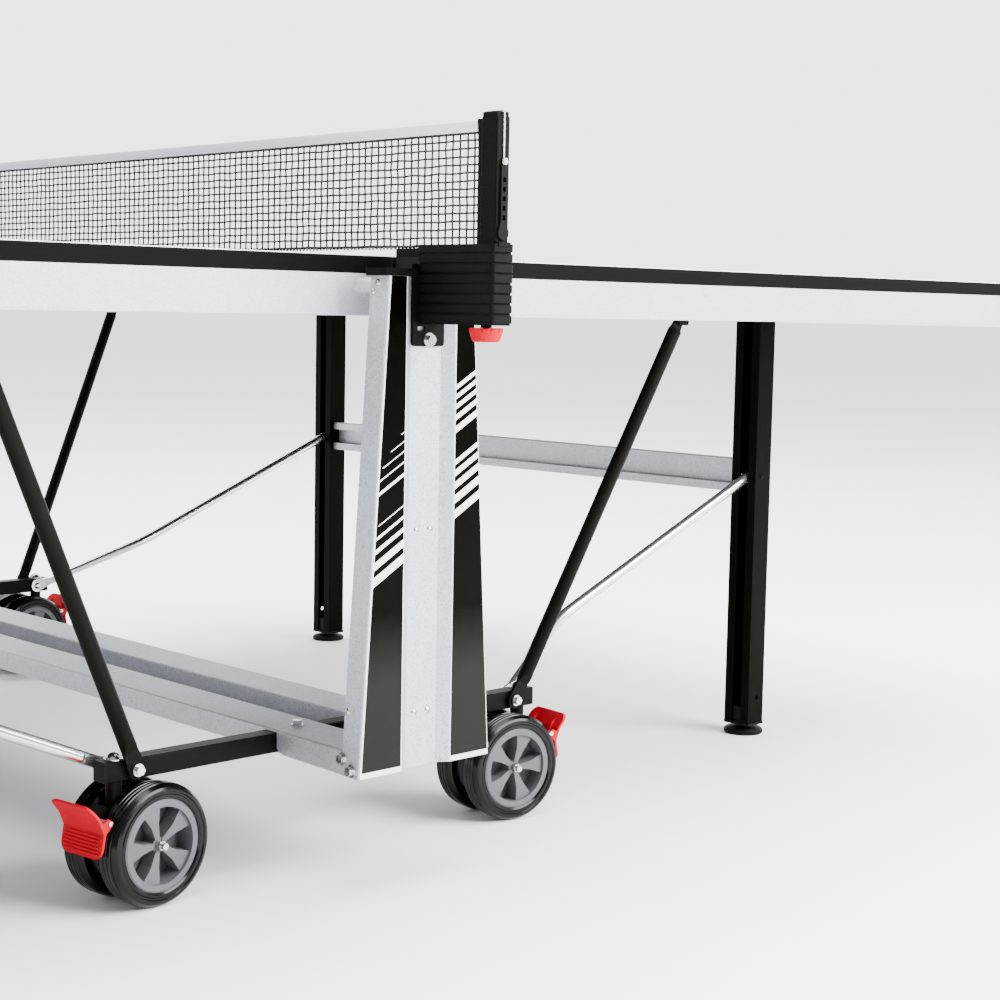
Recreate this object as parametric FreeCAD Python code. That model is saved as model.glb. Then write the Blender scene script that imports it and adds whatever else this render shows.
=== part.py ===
"""Folding ping pong table on casters, with its net.

Frame: millimetres, +Z up, origin on the floor under the middle of the table.
X runs along the playing length ("left" is -X, "right" is +X), Y along the net
("near" is -Y, "far" is +Y). Each repeated piece is drawn once in the right/far
quarter and mirrored into place.
"""
import FreeCAD, Part
import math
import os

V = FreeCAD.Vector

# ---- playing surface -------------------------------------------------------
LENGTH = 2740.0
WIDTH = 1525.0
TOP_Z = 760.0
BOARD = 22.0
HALF_GAP = 2.0                 # each half stops this far from the net plane
BOARD_UNDER = TOP_Z - BOARD
EDGE_Y = WIDTH / 2
END_X = LENGTH / 2

# ---- steel apron under each half --------------------------------------------
APRON_H = 50.0
APRON_Z = BOARD_UNDER - APRON_H
SHEET = 2.5
APRON_START_X = 8.0
BOTTOM_LIP = 12.0
RAIL_FLANGE = 20.0
BEARER_END_Y = 734.5
SCREW_X, SCREW_Z = 585.0, 723.0

# ---- uprights ------------------------------------------------------------------
UP_FRONT = 832.0               # |y| of the front face
UP_BACK = 800.0
UP_BOTTOM = 147.0
UP_TOP = 735.0
UP_FOOT_HALF = 105.0           # half width at the foot
UP_SLOPE = 0.064               # how much the half width loses per unit of height
UP_SHEET = 3.0
RECESS_HALF = 38.0
RECESS_FLOOR_HALF = 24.0
RECESS_DEPTH = 10.5
CAP_T = 9.0
GUSSET_IN = 672.0

# ---- chassis ---------------------------------------------------------------------
BEAM_HALF = 99.5
BEAM_TOP = 176.5
BEAM_LIP_Z = 149.0
VALLEY_HALF = 30.0
VALLEY_Z = 147.0
TUBE = 25.0
TUBE_WALL = 2.0
TUBE_Z = VALLEY_Z + SHEET      # underside of the cross tubes
TUBE_Y = 656.5
TUBE_END = 345.0

# ---- casters -----------------------------------------------------------------------
STEM_X = 326.0
WHEEL_R = 73.0
WHEEL_W = 34.0
WHEEL_GAP = 28.0
RIM_R = 55.0
RIM_RING = 9.0
TRAIL = 34.0
SPOKES = 5
STEM_BOLT_R = 5.0
AXLE_R = 4.0
RUN_FIT = 0.05                 # radial clearance of a running fit
BARE_GAP = 0.3                 # clearance between faces that move past each other
CASTER_YAW = {("left", "near"): 7.5, ("right", "near"): -6.0,
              ("left", "far"): -5.0, ("right", "far"): 6.0}
PEDAL_PIN = (34.0, 111.0)      # outward from the stem, height
PEDAL_HALF = 36.0
PEDAL_T = 3.5
PIN_R = 3.0

# ---- fold linkage, right half -----------------------------------------------------
HINGE_X, HINGE_Z = 54.5, 724.0
HINGE_PIN_R = 6.0
BRACE_X0, BRACE_Z0 = 305.0, 161.5
BRACE_ANGLE = 64.8             # degrees above the floor
BRACE_TOP_Z = 689.0
BRACE_X1 = BRACE_X0 + (BRACE_TOP_Z - BRACE_Z0) / math.tan(math.radians(BRACE_ANGLE))
BRACE_Y0, BRACE_Y1 = 673.0, 740.0
BRACE_R = 10.0
LEG_PIVOT_X, LEG_PIVOT_Z = 930.0, 716.0
ROD_R = 8.0
ROD_EYE = (320.0, 640.0, 161.5)
ROD_BEND = (505.0, 562.0, 241.3)
ROD_TOP = (955.0, 557.0, 434.0)

# ---- end legs ------------------------------------------------------------------------
LEG_Y = 557.0
LEG_HALF_Y = 25.0
LEG_X0, LEG_X1 = 940.0, 980.0
LEG_Z0, LEG_Z1 = 20.0, 734.0
LEG_SLOT = 18.0
LEG_SHEET = 2.5
BAR_X0, BAR_X1 = 950.0, 966.0
BAR_Z0, BAR_Z1 = 404.0, 460.0
BAR_LIP = 14.0
FOOT_R = 32.5
FOOT_T = 12.0

# ---- net ---------------------------------------------------------------------------------
NET_TOP = 912.5
NET_END = 913.0
NET_UNDER = 767.0
TAPE_H = 13.0
POST_OUT = 948.0
POST_TOP = 914.0
POST_CAP = 6.0
POST_HALF = 10.0
CLAMP_IN, CLAMP_OUT = 826.0, 952.0
CLAMP_HALF = 17.0
CLAMP_Z0, CLAMP_Z1 = 680.0, 772.0
RIBS = 8
RIB_DEPTH = 3.5
SHELF_IN = 785.0
BRACKET_HALF = 25.0
KNOB_Y = 925.0
KNOB_R = 19.8
KNOB_Z0, KNOB_Z1 = 661.0, 677.0
KNOB_STEM_R = 4.0


# ---- helpers ---------------------------------------------------------------------------------
def box(x0, x1, y0, y1, z0, z1):
    return Part.makeBox(x1 - x0, y1 - y0, z1 - z0, V(x0, y0, z0))


def rod(start, end, radius):
    a, b = V(*start), V(*end)
    return Part.makeCylinder(radius, (b - a).Length, a, b - a)


def prism(points, direction):
    wire = Part.makePolygon([V(*p) for p in points] + [V(*points[0])])
    return Part.Face(wire).extrude(V(*direction))


def slab_xz(points, y0, y1):
    """Extrude an outline in the XZ plane between two values of y."""
    return prism([(x, y0, z) for x, z in points], (0, y1 - y0, 0))


def slab_yz(points, x0, x1):
    return prism([(x0, y, z) for y, z in points], (x1 - x0, 0, 0))


def spin(points, centre, axis_y=True):
    """Turn an outline of (radius, along) about the Y axis through centre."""
    outline = [V(r, t, 0) for r, t in points]
    face = Part.Face(Part.makePolygon(outline + [outline[0]]))
    solid = face.revolve(V(0, 0, 0), V(0, 1, 0), 360)
    if not axis_y:
        solid.rotate(V(0, 0, 0), V(1, 0, 0), 90)
    solid.translate(V(*centre))
    return solid


def hexagon(centre, across, depth, axis):
    r = across / math.sqrt(3)
    turn = FreeCAD.Rotation(V(0, 0, 1), V(*axis))
    points = []
    for i in range(6):
        a = math.radians(60 * i)
        points.append(V(*centre) + turn.multVec(V(r * math.cos(a), r * math.sin(a), 0)))
    return Part.Face(Part.makePolygon(points + [points[0]])).extrude(V(*axis) * depth)


def dome(centre, radius, height, axis):
    """A shallow domed head that stands on centre along axis."""
    ball_r = (radius ** 2 + height ** 2) / (2 * height)
    base, along = V(*centre), V(*axis)
    ball = Part.makeSphere(ball_r, base + along * (height - ball_r))
    return ball.common(Part.makeCylinder(radius, height + 1, base, along))


def join(shapes):
    whole = shapes[0]
    if len(shapes) > 1:
        whole = whole.fuse(shapes[1:])
    return whole.removeSplitter()


def round_edges(shape, radius, wanted):
    edges = [e for e in shape.Edges if wanted(e)]
    return shape.makeFillet(radius, edges)


def mirror_x(shape):
    return shape.mirror(V(0, 0, 0), V(1, 0, 0))


def mirror_y(shape):
    return shape.mirror(V(0, 0, 0), V(0, 1, 0))


def near_and_far(shape):
    return [shape, mirror_y(shape)]


def four_corners(shape):
    return near_and_far(shape) + near_and_far(mirror_x(shape))


def save(name, solids):
    if not isinstance(solids, list):
        solids = [solids]
    pieces = [s for shape in solids for s in shape.Solids]
    bad = [s for s in pieces if not s.isValid() or s.Volume <= 0]
    print(name, len(pieces), "solids", "BAD" if bad else "ok")
    Part.makeCompound(pieces).exportStep("parts/" + name + ".step")


# ---- chassis -------------------------------------------------------------------------------------
def upright_half_width(z):
    return UP_FOOT_HALF - UP_SLOPE * (z - UP_BOTTOM)


def upright_wire(z):
    h, t = upright_half_width(z), UP_SHEET
    floor = UP_FRONT - RECESS_DEPTH
    side = [(h, UP_BACK), (h, UP_FRONT), (RECESS_HALF, UP_FRONT), (RECESS_FLOOR_HALF, floor)]
    inner = [(RECESS_FLOOR_HALF + t, floor - t), (RECESS_HALF + t, UP_FRONT - t),
             (h - t, UP_FRONT - t), (h - t, UP_BACK)]
    outline = side + [(-x, y) for x, y in reversed(side)]
    outline += [(-x, y) for x, y in reversed(inner)] + inner
    points = [V(x, y, z) for x, y in outline]
    return Part.makePolygon(points + [points[0]])


def upright():
    """Folded sheet: two flanges, a centre recess and a web along each side."""
    body = Part.makeLoft([upright_wire(UP_BOTTOM), upright_wire(UP_TOP)], True, True)

    def front_fold(edge):
        c = edge.CenterOfMass
        return edge.Length > 400 and abs(c.y - UP_FRONT) < 0.1

    body = round_edges(body, 2.5, front_fold)
    plate_x = upright_half_width(UP_BOTTOM + 28) - UP_SHEET
    gusset = slab_yz([(UP_BACK + 4, UP_BOTTOM), (UP_BACK + 4, BEAM_TOP - 1), (GUSSET_IN, BEAM_TOP - 1),
                      (GUSSET_IN, BEAM_LIP_Z + 6), (GUSSET_IN + 12, BEAM_LIP_Z)],
                     BEAM_HALF + BARE_GAP, plate_x + UP_SHEET)
    return join([body, gusset, mirror_x(gusset)])


def upright_cap():
    h = upright_half_width(UP_TOP) + 7
    plate = box(-h, h, UP_BACK - 3, UP_FRONT + 3, UP_TOP, UP_TOP + CAP_T)
    plate = round_edges(plate, 2.5, lambda e: abs(e.CenterOfMass.z - UP_TOP - CAP_T / 2) < 0.1)
    notch = box(-BRACKET_HALF - 1, BRACKET_HALF + 1, CLAMP_IN - 4.5, UP_FRONT + 4, UP_TOP - 1, UP_TOP + CAP_T + 1)
    return plate.cut(notch)


def beam():
    """Hat section across the table, with its lips turned down."""
    end = UP_FRONT - RECESS_DEPTH - UP_SHEET
    h, v, t = BEAM_HALF, VALLEY_HALF, SHEET
    half = [(h, BEAM_LIP_Z), (h, BEAM_TOP), (v, BEAM_TOP), (v, VALLEY_Z + t)]
    under = [(v + t, VALLEY_Z), (v + t, BEAM_TOP - t), (h - t, BEAM_TOP - t), (h - t, BEAM_LIP_Z)]
    outline = half + [(-x, z) for x, z in reversed(half)]
    outline += [(-x, z) for x, z in reversed(under)] + under
    body = slab_xz(outline, -end, end)
    body = round_edges(body, 2.0, lambda e: e.Length > 1000 and e.CenterOfMass.z > BEAM_TOP - 0.1)
    # the tube lies under the top flanges and over the valley floor
    slot = box(-h - 1, h + 1, TUBE_Y - TUBE / 2 - 0.2, TUBE_Y + TUBE / 2 + 0.2, TUBE_Z, BEAM_TOP - t)
    return body.cut(slot).cut(mirror_y(slot))


def cross_tube():
    y0, y1 = TUBE_Y - TUBE / 2, TUBE_Y + TUBE / 2
    end = TUBE_END - 3
    z1 = min(TUBE_Z + TUBE, BEAM_TOP - SHEET)
    outer = box(-end, end, y0, y1, TUBE_Z, z1)
    outer = round_edges(outer, 1.5, lambda e: e.Length > 500)
    w = TUBE_WALL
    body = outer.cut(box(-end - 1, end + 1, y0 + w, y1 - w, TUBE_Z + w, z1 - w))
    for side in (-1, 1):
        body = body.cut(rod((side * STEM_X, TUBE_Y, TUBE_Z - 5), (side * STEM_X, TUBE_Y, z1 + 5), STEM_BOLT_R))
    return body


def tube_end_cap():
    y0, y1 = TUBE_Y - TUBE / 2, TUBE_Y + TUBE / 2
    z1 = min(TUBE_Z + TUBE, BEAM_TOP - SHEET)
    face = box(TUBE_END - 3, TUBE_END, y0, y1, TUBE_Z, z1)
    face = round_edges(face, 1.5, lambda e: abs(e.CenterOfMass.x - TUBE_END + 1.5) < 0.1)
    w = TUBE_WALL
    plug = box(TUBE_END - 12, TUBE_END - 3, y0 + w, y1 - w, TUBE_Z + w, z1 - w)
    return join([face, plug])


def stem_bolt():
    """Bolt down through the cross tube that the caster swivels on."""
    top = BEAM_TOP - SHEET
    head = dome((STEM_X, TUBE_Y, top + 1.5), 9.5, 7.0, (0, 0, 1))
    washer = rod((STEM_X, TUBE_Y, top), (STEM_X, TUBE_Y, top + 1.5), 11.5)
    shank = rod((STEM_X, TUBE_Y, 112), (STEM_X, TUBE_Y, top), STEM_BOLT_R)
    return join([head, washer, shank])


def beam_nut():
    return join([rod((60, TUBE_Y, BEAM_TOP), (60, TUBE_Y, BEAM_TOP + 1), 8),
                 hexagon((60, TUBE_Y, BEAM_TOP + 1), 11, 5, (0, 0, 1))])


def on_web(y, z):
    """A point on the slanting side web and the way that web faces."""
    face = V(1, 0, UP_SLOPE).normalize()
    return V(upright_half_width(z), y, z), face


def gusset_bolts():
    """Two hex bolts through each foot plate of the uprights."""
    bolts = []
    for y, z in ((819.0, 155.5), (802.0, 167.0)):
        foot, face = on_web(y, z)
        top = foot + face * 1.5
        bolts.append(join([rod(tuple(foot), tuple(top), 8), hexagon(tuple(top), 10, 5.5, tuple(face))]))
    return bolts


def web_rivets():
    heads = []
    for y, z, radius in ((812.5, 727.0, 4.5), (804.5, 716.5, 3.5), (805.0, 224.0, 4.0)):
        foot, face = on_web(y, z)
        heads.append(pan_head(tuple(foot), tuple(face), radius))
    return heads


def pan_head(centre, axis, radius=5.0):
    """Domed head with a small hexagon socket."""
    height = 2.2
    floor = V(*centre) + V(*axis) * (height / 2)
    return dome(centre, radius, height, axis).cut(hexagon(tuple(floor), radius * 0.6, height, axis))


def frame_fasteners():
    """Every screw, rivet, bolt and nut that stays with the chassis."""
    quarter = [stem_bolt(), beam_nut()] + gusset_bolts() + web_rivets()
    pieces = [s for q in quarter for s in four_corners(q)]
    floor = UP_FRONT - RECESS_DEPTH
    for z in (213.0, 434.0):
        for x in (-10.7, 10.7):
            pieces += near_and_far(pan_head((x, floor, z), (0, 1, 0)))
    bolt = join([rod((1, CLAMP_IN, 661), (1, CLAMP_IN + 1.2, 661), 8.5),
                 hexagon((1, CLAMP_IN + 1.2, 661), 11, 5.5, (0, 1, 0))])
    return pieces + near_and_far(bolt)


# ---- net set -----------------------------------------------------------------------------------------
def net_mesh():
    return box(-0.6, 0.6, -NET_END, NET_END, NET_UNDER, NET_TOP - TAPE_H)


def net_tape():
    return box(-1.6, 1.6, -NET_END, NET_END, NET_TOP - TAPE_H, NET_TOP)


def net_post():
    """Square post with a capped top and a narrower sleeve for the net's edge."""
    back = 922.0
    post = box(-POST_HALF, POST_HALF, back, POST_OUT, CLAMP_Z1, POST_TOP)
    post = round_edges(post, 1.5, lambda e: e.Length > 100)
    sleeve = slab_yz([(NET_END, CLAMP_Z1), (back + 1, CLAMP_Z1), (back + 1, POST_TOP - 1),
                      (NET_END - 2, POST_TOP - 1), (NET_END, POST_TOP - 30)], -6, 6)
    sleeve = sleeve.cut(box(-2, 2, NET_END - 3, NET_END, CLAMP_Z1, POST_TOP))
    cap = box(-POST_HALF + 1, POST_HALF - 1, back + 1, POST_OUT - 1.5, POST_TOP, POST_TOP + POST_CAP)
    cap = round_edges(cap, 1.5, lambda e: e.CenterOfMass.z > POST_TOP + POST_CAP - 0.1)
    return join([post, sleeve, cap])


def net_clamp():
    """Ribbed clamp housing with the thin shelf that reaches back over the upright."""
    pitch = (CLAMP_Z1 - CLAMP_Z0) / RIBS
    core = box(-CLAMP_HALF + 2, CLAMP_HALF - 2, CLAMP_IN, CLAMP_OUT - RIB_DEPTH, CLAMP_Z0, CLAMP_Z1)
    ribs = []
    for i in range(RIBS):
        z = CLAMP_Z0 + i * pitch
        rib = box(-CLAMP_HALF, CLAMP_HALF, CLAMP_IN, CLAMP_OUT, z + 2.6, z + pitch)
        outer = [e for e in rib.Edges if abs(e.CenterOfMass.y - CLAMP_OUT) < 0.1 and abs(e.CenterOfMass.x) > 1]
        ribs.append(rib.makeFillet(5, outer))
    shelf = box(-CLAMP_HALF, CLAMP_HALF, SHELF_IN, CLAMP_IN + 1, 757.5, 768)
    lip = box(-9, 9, POST_OUT + BARE_GAP, CLAMP_OUT + 1.5, CLAMP_Z1 - 3, CLAMP_Z1 + 2)
    collar = rod((0, KNOB_Y, KNOB_Z1 + BARE_GAP), (0, KNOB_Y, CLAMP_Z0), KNOB_STEM_R + 2.5)
    body = join([core] + ribs + [shelf, lip, collar])
    well = rod((0, KNOB_Y, KNOB_Z1), (0, KNOB_Y, CLAMP_Z0 + 34), KNOB_STEM_R + RUN_FIT)
    net_groove = box(-1.2, 1.2, SHELF_IN - 1, NET_END, NET_UNDER - 0.5, CLAMP_Z1 + 1)
    return body.cut(well).cut(net_groove)


def clamp_bracket():
    """Plate behind the clamp, stood off the upright's recess on a block and a spacer."""
    floor, foot, thick = UP_FRONT - RECESS_DEPTH, 653.5, 3.0
    back = CLAMP_IN - thick
    plate = box(-BRACKET_HALF, BRACKET_HALF, back, CLAMP_IN, foot, 750)
    plate = round_edges(plate, 4, lambda e: abs(e.Length - thick) < 0.1 and e.CenterOfMass.z < foot + 1)
    plate = plate.cut(box(-17, -5.5, back - 1, CLAMP_IN + 1, 671.5, 676.5))
    block = box(-12, 12, floor, back, 692, 728)
    spacer = rod((1, floor, 661), (1, back, 661), 7)
    return join([plate, block, spacer])


def knob():
    """Turned grip with fluted sides, on the clamp's screw."""
    foot_r = KNOB_R - 3.5
    grip = spin([(0, KNOB_Z0), (foot_r - 2, KNOB_Z0), (foot_r, KNOB_Z0 + 2), (KNOB_R, KNOB_Z1 - 3),
                 (KNOB_R, KNOB_Z1 - 1), (KNOB_R - 1, KNOB_Z1), (0, KNOB_Z1)], (0, 0, 0), axis_y=False)
    grip.translate(V(0, KNOB_Y, 0))
    for i in range(12):
        a = math.radians(30 * i)
        c = (math.cos(a) * (KNOB_R + 3.2), KNOB_Y + math.sin(a) * (KNOB_R + 3.2))
        grip = grip.cut(rod((c[0], c[1], KNOB_Z0 - 1), (c[0], c[1], KNOB_Z1 + 1), 4.2))
    stem = rod((0, KNOB_Y, KNOB_Z1), (0, KNOB_Y, CLAMP_Z0 + 30), KNOB_STEM_R)
    return join([grip, stem])


def tension_cord():
    """Cord from the net's top edge over the post and down its outer side."""
    r = 0.9
    over = POST_TOP + POST_CAP + r + 0.2
    down = POST_OUT + r + 0.2
    rise, low = NET_END + 6, 864.0
    path = [(rise, POST_TOP - 0.5), (rise, over - 2.5), (rise + 2.5, over), (down - 1.5, over), (down, over - 1.5),
            (down, low)]
    points = [(0, y, z) for y, z in path]
    parts = [rod(a, b, r) for a, b in zip(points, points[1:])]
    parts += [Part.makeSphere(r, V(*p)) for p in points[1:-1]]
    knot = spin([(0, -3.5), (2, -3.5), (3.1, -1.4), (3.1, 1.4), (2, 3.5), (0, 3.5)], (0, 0, 0), axis_y=False)
    knot.translate(V(0, POST_OUT + 3.4, low))
    return join(parts + [knot])


def tension_strap():
    """Rubber strap with square holes and a pull tab."""
    y0, y1, half = POST_OUT + 0.3, POST_OUT + 2.9, 4.6
    tab_z, tab_r = 784.0, 8.0
    body = box(-half, half, y0, y1, tab_z, 859.9)
    for i in range(5):
        z = 798.5 + 10.6 * i
        body = body.cut(box(-2.3, 2.3, y0 - 1, y1 + 1, z, z + 5.4))
    tab = rod((0, y0, tab_z), (0, y1, tab_z), tab_r)
    shoulder = slab_xz([(-tab_r + 0.4, tab_z + 2), (tab_r - 0.4, tab_z + 2), (half, tab_z + 13), (-half, tab_z + 13)],
                       y0, y1)
    return join([body, tab, shoulder])


# ---- one half of the table ----------------------------------------------------------------------------
def board():
    body = box(HALF_GAP, END_X, -EDGE_Y, EDGE_Y, BOARD_UNDER, TOP_Z)
    return body.makeChamfer(0.8, [e for e in body.Edges if e.CenterOfMass.z > TOP_Z - 0.1])


def side_rail():
    """Folded apron rail with the hinge pin that rides in the upright."""
    x0, x1 = APRON_START_X, END_X - SHEET
    y0, y1, z0, z1 = EDGE_Y - SHEET, EDGE_Y, APRON_Z, BOARD_UNDER
    wall = box(x0, x1, y0, y1, z0, z1)
    lip = box(x0, x1, EDGE_Y - BOTTOM_LIP, EDGE_Y, z0, z0 + SHEET)
    flange = box(x0, x1, EDGE_Y - RAIL_FLANGE, EDGE_Y, z1 - SHEET, z1)
    body = join([wall, lip, flange])
    body = round_edges(body, 1.8, lambda e: e.Length > 1000 and abs(e.CenterOfMass.y - EDGE_Y) < 0.1
                       and abs(e.CenterOfMass.z - z0) < 0.1)
    pin = rod((HINGE_X, EDGE_Y - 14, HINGE_Z), (HINGE_X, 824, HINGE_Z), HINGE_PIN_R)
    collar = rod((HINGE_X, EDGE_Y, HINGE_Z), (HINGE_X, UP_BACK - 4, HINGE_Z), 9)
    doubler = box(HINGE_X - 30, HINGE_X + 45, EDGE_Y - SHEET - 3, EDGE_Y - SHEET, z0 + SHEET, z1 - SHEET)
    screw = pan_head((SCREW_X, EDGE_Y, SCREW_Z), (0, 1, 0), 4.0)
    return join([body, pin, collar, doubler, screw])


def end_rail(x_wall, inward):
    """Folded rail across the half; inward is the direction of its lips along X."""
    y = BEARER_END_Y
    x_in = x_wall + inward * SHEET
    wall = box(min(x_wall, x_in), max(x_wall, x_in), -y, y, APRON_Z, BOARD_UNDER)
    x_lip = x_wall + inward * BOTTOM_LIP
    lip = box(min(x_wall, x_lip), max(x_wall, x_lip), -y, y, APRON_Z, APRON_Z + SHEET)
    x_top = x_wall + inward * RAIL_FLANGE
    top = box(min(x_wall, x_top), max(x_wall, x_top), -y, y, BOARD_UNDER - SHEET, BOARD_UNDER)
    return join([wall, lip, top])


def rail_return():
    """Short corner piece that closes the apron between side rail and end rail."""
    y0 = BEARER_END_Y
    x0 = END_X - SHEET
    body = box(x0, END_X, y0, EDGE_Y, APRON_Z, BOARD_UNDER)
    return body.makeFillet(1.5, [e for e in body.Edges if abs(e.CenterOfMass.y - EDGE_Y) < 0.1 and
                                 abs(e.CenterOfMass.x - END_X) < 0.1])


def bearers():
    """Two cross bearers, the leg hinge blocks and the brace brackets."""
    y = BEARER_END_Y
    pieces = []
    for x0, x1 in ((300.0, 330.0), (885.0, 915.0)):
        outer = box(x0, x1, -y, y, BOARD_UNDER - 30, BOARD_UNDER)
        outer = outer.cut(box(x0 + 2, x1 - 2, -y - 1, y + 1, BOARD_UNDER - 28, BOARD_UNDER - 2))
        if x0 > END_X / 2:
            block = leg_hinge_block()
            outer = join([outer, block, mirror_y(block)])
        pieces.append(outer)
    return pieces + near_and_far(brace_bracket())


def leg_hinge_block():
    reach = LEG_HALF_Y - LEG_SHEET - BARE_GAP
    block = box(915, LEG_PIVOT_X + 8, LEG_Y - reach, LEG_Y + reach, LEG_PIVOT_Z - 12, BOARD_UNDER)
    bore = rod((LEG_PIVOT_X, LEG_Y - 30, LEG_PIVOT_Z), (LEG_PIVOT_X, LEG_Y + 30, LEG_PIVOT_Z), 5 + RUN_FIT)
    return block.cut(bore)


def brace_bracket():
    y0 = BRACE_Y1 + 6.0
    x = BRACE_X1
    outline = [(x - 9, BRACE_TOP_Z - 8), (x + 9, BRACE_TOP_Z - 8), (x + 24, BOARD_UNDER - SHEET - 4),
               (x + 24, BOARD_UNDER - SHEET), (x - 24, BOARD_UNDER - SHEET), (x - 24, BOARD_UNDER - SHEET - 4)]
    return slab_xz(outline, y0, y0 + 3)


def guide_shoe():
    """Nylon shoe that slides inside the upright's side channel on the hinge pin."""
    y0, y1 = 803.0, 826.0
    r, drop = 9.6, 24.0
    lower = (HINGE_X + drop * UP_SLOPE, HINGE_Z - drop)
    upper_disc = rod((HINGE_X, y0, HINGE_Z), (HINGE_X, y1, HINGE_Z), r)
    lower_disc = rod((lower[0], y0, lower[1]), (lower[0], y1, lower[1]), r)
    n = V(1, 0, UP_SLOPE).normalize() * r
    sides = slab_xz([(HINGE_X - n.x, HINGE_Z - n.z), (HINGE_X + n.x, HINGE_Z + n.z),
                     (lower[0] + n.x, lower[1] + n.z), (lower[0] - n.x, lower[1] - n.z)], y0, y1)
    bore = rod((HINGE_X, y0 - 1, HINGE_Z), (HINGE_X, y1 + 1, HINGE_Z), HINGE_PIN_R + RUN_FIT)
    return join([upper_disc, lower_disc, sides]).cut(bore)


def flat_eye(centre, toward, radius, thick, reach, tube_r):
    """Flattened tube end: a disc about Y and a tapering tongue towards the tube."""
    c = V(*centre)
    along = (V(*toward) - c).normalize()
    across = V(-along.z, 0, along.x).normalize()
    disc = rod((c.x, c.y - thick / 2, c.z), (c.x, c.y + thick / 2, c.z), radius)
    far_end = c + along * reach
    wide, narrow = across * radius * 0.98, across * tube_r * 0.97
    ring = [c + wide, far_end + narrow, far_end - narrow, c - wide]
    lower = [V(p.x, p.y - thick / 2, p.z) for p in ring]
    tongue = Part.Face(Part.makePolygon(lower + [lower[0]])).extrude(V(0, thick, 0))
    return join([disc, tongue])


def round_to_flat(start, toward, thick, radius, length):
    """Pressed stretch of a tube, flat in Y at start and full round after length."""
    a = V(*start)
    along = (V(*toward) - a).normalize()
    side = along.cross(V(0, 1, 0)).normalize()
    b = a + along * length
    flat, full = V(0, thick / 2, 0), V(0, radius * 1.05, 0)
    out = side * (radius * 1.1)
    corners = [a - flat - out, b - full - out, b + full - out, a + flat - out]
    wedge = Part.Face(Part.makePolygon(corners + [corners[0]])).extrude(out * 2)
    return Part.makeCylinder(radius, length, a, along).common(wedge)


def brace():
    """Round stay with flattened ends, its foot bolt and its head bolt."""
    foot = V(BRACE_X0, BRACE_Y0, BRACE_Z0)
    head = V(BRACE_X1, BRACE_Y1, BRACE_TOP_Z)
    along = (head - foot).normalize()
    low, high = foot + along * 26, head - along * 14
    tube = rod(tuple(low + along * 16), tuple(high - along * 8), BRACE_R)
    thick = 4.0
    parts = [tube, flat_eye(tuple(foot), tuple(head), 12, thick, 28, BRACE_R),
             round_to_flat(tuple(low), tuple(head), thick, BRACE_R, 17),
             flat_eye(tuple(head), tuple(foot), 7.8, thick, 16, BRACE_R),
             round_to_flat(tuple(high), tuple(foot), thick, BRACE_R, 9)]
    head_bolt = [rod((BRACE_X1, BRACE_Y1 - 6, BRACE_TOP_Z), (BRACE_X1, BRACE_Y1 + 5.2, BRACE_TOP_Z), 4.5)]
    body = join(parts + head_bolt)
    bore = rod((BRACE_X0, BRACE_Y0 - 5, BRACE_Z0), (BRACE_X0, BRACE_Y0 + 5, BRACE_Z0), 4 + RUN_FIT)
    return body.cut(bore)


def brace_foot_bolt():
    """Shoulder bolt in the cross tube that the brace turns on."""
    face = TUBE_Y + TUBE / 2
    out = BRACE_Y0 + 3.2
    shank = rod((BRACE_X0, face, BRACE_Z0), (BRACE_X0, out + 1, BRACE_Z0), 4)
    washer = rod((BRACE_X0, out, BRACE_Z0), (BRACE_X0, out + 1.4, BRACE_Z0), 7.5)
    head = hexagon((BRACE_X0, out + 1.4, BRACE_Z0), 10, 5, (0, 1, 0))
    return join([shank, washer, head])


def bent_tube(points, radius, bend_radius):
    """Tube along two straight runs joined by one tangent arc."""
    a, corner, b = [V(*p) for p in points]
    into, out = (corner - a).normalize(), (b - corner).normalize()
    half_turn = into.getAngle(out) / 2
    back = bend_radius * math.tan(half_turn)
    start, end = corner - into * back, corner + out * back
    inward = (out - into).normalize()
    middle = corner + inward * (bend_radius / math.cos(half_turn) - bend_radius)
    path = Part.Wire([Part.LineSegment(a, start).toShape(), Part.Arc(start, middle, end).toShape(),
                      Part.LineSegment(end, b).toShape()])
    section = Part.Face(Part.Wire([Part.Circle(a, into, radius).toShape()]))
    return path.makePipe(section)


def link_rod():
    """Bright rod from the cross tube to the leg, bent once, with flattened eyes."""
    eye, bend, top = V(*ROD_EYE), V(*ROD_BEND), V(*ROD_TOP)
    a1 = (bend - eye).normalize()
    a2 = (top - bend).normalize()
    thick = 4.0
    low = eye + a1 * 16
    high = top - a2 * 12
    parts = [flat_eye(tuple(eye), tuple(bend), 11.5, thick, 18, ROD_R),
             round_to_flat(tuple(low), tuple(bend), thick, ROD_R, 20),
             bent_tube((tuple(low + a1 * 19), ROD_BEND, tuple(high)), ROD_R, 160)]
    tongue = flat_eye(tuple(top), tuple(bend), 7.5, 8.0, 14, ROD_R)
    bolt = dome((eye.x, eye.y - 2, eye.z), 6.5, 4, (0, -1, 0))
    body = join(parts + [tongue, bolt])
    bore = rod((top.x, top.y - 12, top.z), (top.x, top.y + 12, top.z), 3.5 + RUN_FIT)
    return body.cut(bore)


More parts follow.
